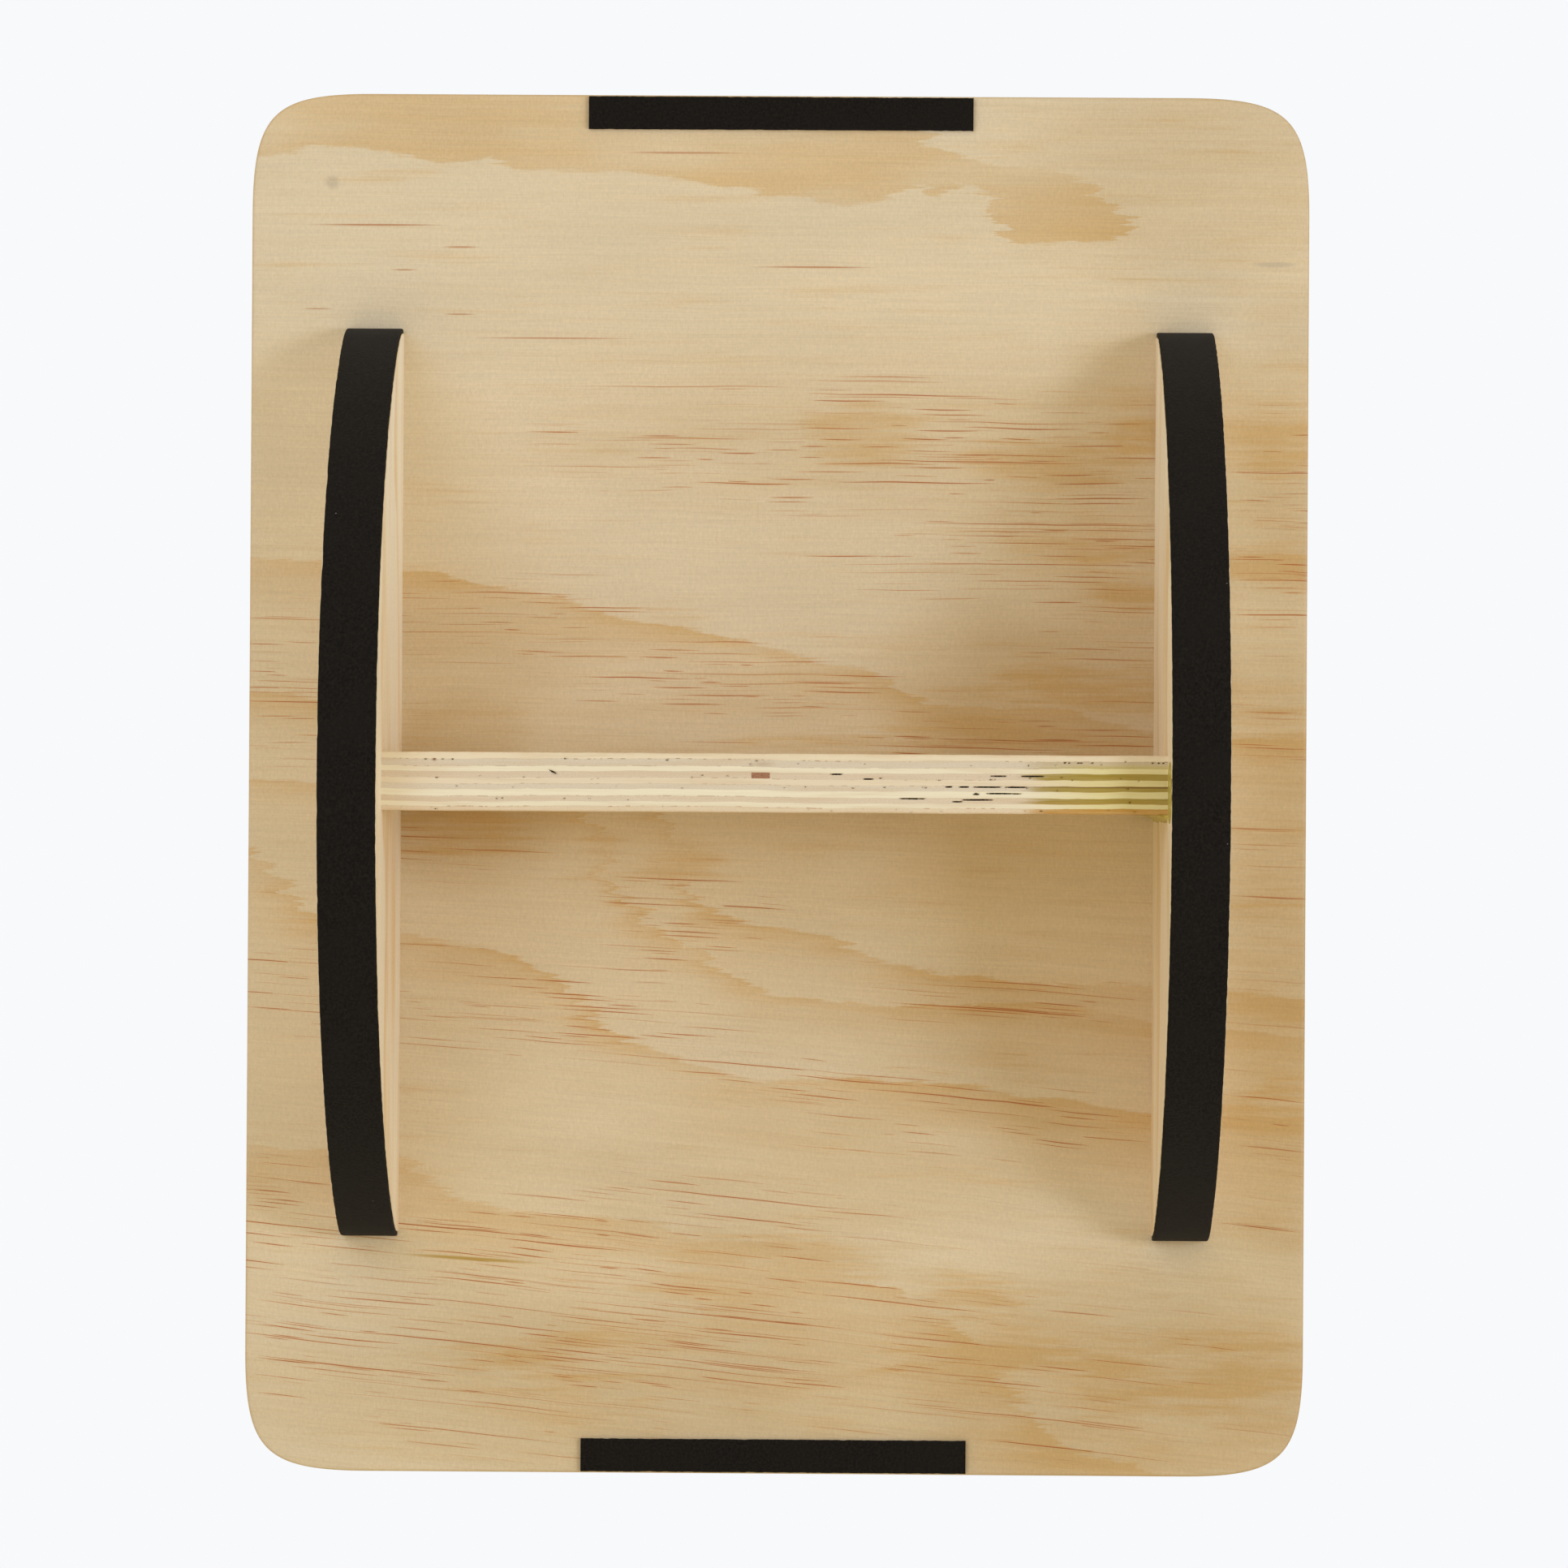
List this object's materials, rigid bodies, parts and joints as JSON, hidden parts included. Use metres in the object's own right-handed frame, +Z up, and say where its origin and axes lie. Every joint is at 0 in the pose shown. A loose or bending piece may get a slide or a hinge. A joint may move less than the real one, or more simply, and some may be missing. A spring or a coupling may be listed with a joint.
{
  "type": "rocker board",
  "caption": "Rounded plywood board on two curved rockers tied by a central brace, with black felt on the rockers and under both short ends.",
  "frame": {"origin": "on the floor, under the middle of the board, with the board level", "axes": "+X along the long side, the way it rocks, with the front end at +X; +Y to the left across the board; +Z up through the face that is stood on"},
  "size_m": [0.43, 0.33, 0.1242],
  "materials": {
    "plywood": "bare radiata pine plywood, sanded",
    "felt": "self-adhesive needled felt",
    "dowel": "plain beech"
  },
  "bodies": {
    "root": {"board": "plywood", "rocker_left": "plywood", "rocker_right": "plywood", "brace": "plywood", "rocker_felt_left": "felt", "rocker_felt_right": "felt", "stop_felt_front": "felt", "stop_felt_back": "felt", "rocker_dowels_left": "dowel", "rocker_dowels_right": "dowel", "brace_board_dowels": "dowel", "brace_end_dowels_left": "dowel", "brace_end_dowels_right": "dowel"}
  },
  "joints": []
}
